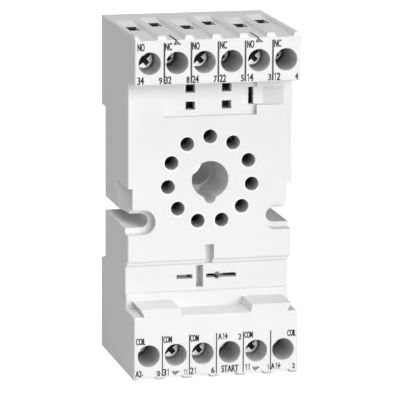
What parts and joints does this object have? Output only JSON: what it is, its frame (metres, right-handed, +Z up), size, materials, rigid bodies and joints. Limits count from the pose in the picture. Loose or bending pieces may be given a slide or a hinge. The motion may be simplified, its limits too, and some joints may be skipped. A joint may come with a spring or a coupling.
{
  "type": "plug-in relay socket",
  "caption": "Upright socket for a plug-in relay with round pins, screw terminals in tiers at both ends, side slots for panel screws and a sprung rail latch at the back.",
  "frame": {"origin": "middle of the rectangular footprint, on the plane of the base", "axes": "X across the socket, +Z up along its height, the front with the pin holes faces -Y and the back with the rail recess faces +Y"},
  "size_m": [0.038, 0.035, 0.0783],
  "materials": {
    "housing": "fine matte moulded",
    "cover": "fine matte moulded",
    "latch": "satin moulded",
    "screw": "zinc plated",
    "clamp": "zinc plated",
    "contact": "tin plated",
    "spring": "drawn wire"
  },
  "bodies": {
    "socket": {"housing": "housing", "rear_cover": "cover", "cover_screws": "screw", "latch_spring": "spring", "contact_strap_1": "contact", "contact_strap_2": "contact", "contact_strap_3": "contact", "contact_strap_4": "contact", "contact_strap_5": "contact", "contact_strap_6": "contact", "contact_strap_7": "contact", "contact_strap_8": "contact", "contact_strap_9": "contact", "contact_strap_10": "contact", "contact_strap_11": "contact", "pin_clip_1": "contact", "pin_clip_2": "contact", "pin_clip_3": "contact", "pin_clip_4": "contact", "pin_clip_5": "contact", "pin_clip_6": "contact", "pin_clip_7": "contact", "pin_clip_8": "contact", "pin_clip_9": "contact", "pin_clip_10": "contact", "pin_clip_11": "contact"},
    "latch": {"rail_latch": "latch"},
    "screw_top_1": {"terminal_screw_top_1": "screw"},
    "clamp_top_1": {"wire_clamp_top_1": "clamp"},
    "screw_top_2": {"terminal_screw_top_2": "screw"},
    "clamp_top_2": {"wire_clamp_top_2": "clamp"},
    "screw_top_3": {"terminal_screw_top_3": "screw"},
    "clamp_top_3": {"wire_clamp_top_3": "clamp"},
    "screw_top_4": {"terminal_screw_top_4": "screw"},
    "clamp_top_4": {"wire_clamp_top_4": "clamp"},
    "screw_top_5": {"terminal_screw_top_5": "screw"},
    "clamp_top_5": {"wire_clamp_top_5": "clamp"},
    "screw_top_6": {"terminal_screw_top_6": "screw"},
    "clamp_top_6": {"wire_clamp_top_6": "clamp"},
    "screw_bottom_1": {"terminal_screw_bottom_1": "screw"},
    "clamp_bottom_1": {"wire_clamp_bottom_1": "clamp"},
    "screw_bottom_2": {"terminal_screw_bottom_2": "screw"},
    "clamp_bottom_2": {"wire_clamp_bottom_2": "clamp"},
    "screw_bottom_3": {"terminal_screw_bottom_3": "screw"},
    "clamp_bottom_3": {"wire_clamp_bottom_3": "clamp"},
    "screw_bottom_4": {"terminal_screw_bottom_4": "screw"},
    "clamp_bottom_4": {"wire_clamp_bottom_4": "clamp"},
    "screw_bottom_5": {"terminal_screw_bottom_5": "screw"},
    "clamp_bottom_5": {"wire_clamp_bottom_5": "clamp"},
    "screw_bottom_6": {"terminal_screw_bottom_6": "screw"},
    "clamp_bottom_6": {"wire_clamp_bottom_6": "clamp"}
  },
  "joints": [
    {"name": "latch_slide", "type": "slide", "parent": "socket", "child": "latch", "axis": [0, 0, -1], "range_m": [0, 0.0025], "stiffness_N_per_m": 800, "deforming": ["latch_spring"]},
    {"name": "screw_turn_top_1", "type": "hinge", "parent": "socket", "child": "screw_top_1", "pos_m": [-0.01559, 0, 0.07225], "axis": [0, 1, 0], "range_deg": [0, 1728]},
    {"name": "clamp_rise_top_1", "type": "slide", "parent": "socket", "child": "clamp_top_1", "axis": [0, -1, 0], "range_m": [0, 0.0024]},
    {"name": "screw_turn_top_2", "type": "hinge", "parent": "socket", "child": "screw_top_2", "pos_m": [-0.00935, 0, 0.07225], "axis": [0, 1, 0], "range_deg": [0, 1728]},
    {"name": "clamp_rise_top_2", "type": "slide", "parent": "socket", "child": "clamp_top_2", "axis": [0, -1, 0], "range_m": [0, 0.0024]},
    {"name": "screw_turn_top_3", "type": "hinge", "parent": "socket", "child": "screw_top_3", "pos_m": [-0.00312, 0, 0.07225], "axis": [0, 1, 0], "range_deg": [0, 1728]},
    {"name": "clamp_rise_top_3", "type": "slide", "parent": "socket", "child": "clamp_top_3", "axis": [0, -1, 0], "range_m": [0, 0.0024]},
    {"name": "screw_turn_top_4", "type": "hinge", "parent": "socket", "child": "screw_top_4", "pos_m": [0.00312, 0, 0.07225], "axis": [0, 1, 0], "range_deg": [0, 1728]},
    {"name": "clamp_rise_top_4", "type": "slide", "parent": "socket", "child": "clamp_top_4", "axis": [0, -1, 0], "range_m": [0, 0.0024]},
    {"name": "screw_turn_top_5", "type": "hinge", "parent": "socket", "child": "screw_top_5", "pos_m": [0.00935, 0, 0.07225], "axis": [0, 1, 0], "range_deg": [0, 1728]},
    {"name": "clamp_rise_top_5", "type": "slide", "parent": "socket", "child": "clamp_top_5", "axis": [0, -1, 0], "range_m": [0, 0.0024]},
    {"name": "screw_turn_top_6", "type": "hinge", "parent": "socket", "child": "screw_top_6", "pos_m": [0.01559, 0, 0.07225], "axis": [0, 1, 0], "range_deg": [0, 1728]},
    {"name": "clamp_rise_top_6", "type": "slide", "parent": "socket", "child": "clamp_top_6", "axis": [0, -1, 0], "range_m": [0, 0.0024]},
    {"name": "screw_turn_bottom_1", "type": "hinge", "parent": "socket", "child": "screw_bottom_1", "pos_m": [-0.01559, 0, 0.00575], "axis": [0, 1, 0], "range_deg": [0, 1728]},
    {"name": "clamp_rise_bottom_1", "type": "slide", "parent": "socket", "child": "clamp_bottom_1", "axis": [0, -1, 0], "range_m": [0, 0.0024]},
    {"name": "screw_turn_bottom_2", "type": "hinge", "parent": "socket", "child": "screw_bottom_2", "pos_m": [-0.00935, 0, 0.00575], "axis": [0, 1, 0], "range_deg": [0, 1728]},
    {"name": "clamp_rise_bottom_2", "type": "slide", "parent": "socket", "child": "clamp_bottom_2", "axis": [0, -1, 0], "range_m": [0, 0.0024]},
    {"name": "screw_turn_bottom_3", "type": "hinge", "parent": "socket", "child": "screw_bottom_3", "pos_m": [-0.00312, 0, 0.00575], "axis": [0, 1, 0], "range_deg": [0, 1728]},
    {"name": "clamp_rise_bottom_3", "type": "slide", "parent": "socket", "child": "clamp_bottom_3", "axis": [0, -1, 0], "range_m": [0, 0.0024]},
    {"name": "screw_turn_bottom_4", "type": "hinge", "parent": "socket", "child": "screw_bottom_4", "pos_m": [0.00312, 0, 0.00575], "axis": [0, 1, 0], "range_deg": [0, 1728]},
    {"name": "clamp_rise_bottom_4", "type": "slide", "parent": "socket", "child": "clamp_bottom_4", "axis": [0, -1, 0], "range_m": [0, 0.0024]},
    {"name": "screw_turn_bottom_5", "type": "hinge", "parent": "socket", "child": "screw_bottom_5", "pos_m": [0.00935, 0, 0.00575], "axis": [0, 1, 0], "range_deg": [0, 1728]},
    {"name": "clamp_rise_bottom_5", "type": "slide", "parent": "socket", "child": "clamp_bottom_5", "axis": [0, -1, 0], "range_m": [0, 0.0024]},
    {"name": "screw_turn_bottom_6", "type": "hinge", "parent": "socket", "child": "screw_bottom_6", "pos_m": [0.01559, 0, 0.00575], "axis": [0, 1, 0], "range_deg": [0, 1728]},
    {"name": "clamp_rise_bottom_6", "type": "slide", "parent": "socket", "child": "clamp_bottom_6", "axis": [0, -1, 0], "range_m": [0, 0.0024]}
  ],
  "couplings": [
    {"joint": "screw_turn_top_1", "follows": "clamp_rise_top_1", "rad_per_m": 12566},
    {"joint": "screw_turn_top_2", "follows": "clamp_rise_top_2", "rad_per_m": 12566},
    {"joint": "screw_turn_top_3", "follows": "clamp_rise_top_3", "rad_per_m": 12566},
    {"joint": "screw_turn_top_4", "follows": "clamp_rise_top_4", "rad_per_m": 12566},
    {"joint": "screw_turn_top_5", "follows": "clamp_rise_top_5", "rad_per_m": 12566},
    {"joint": "screw_turn_top_6", "follows": "clamp_rise_top_6", "rad_per_m": 12566},
    {"joint": "screw_turn_bottom_1", "follows": "clamp_rise_bottom_1", "rad_per_m": 12566},
    {"joint": "screw_turn_bottom_2", "follows": "clamp_rise_bottom_2", "rad_per_m": 12566},
    {"joint": "screw_turn_bottom_3", "follows": "clamp_rise_bottom_3", "rad_per_m": 12566},
    {"joint": "screw_turn_bottom_4", "follows": "clamp_rise_bottom_4", "rad_per_m": 12566},
    {"joint": "screw_turn_bottom_5", "follows": "clamp_rise_bottom_5", "rad_per_m": 12566},
    {"joint": "screw_turn_bottom_6", "follows": "clamp_rise_bottom_6", "rad_per_m": 12566}
  ]
}
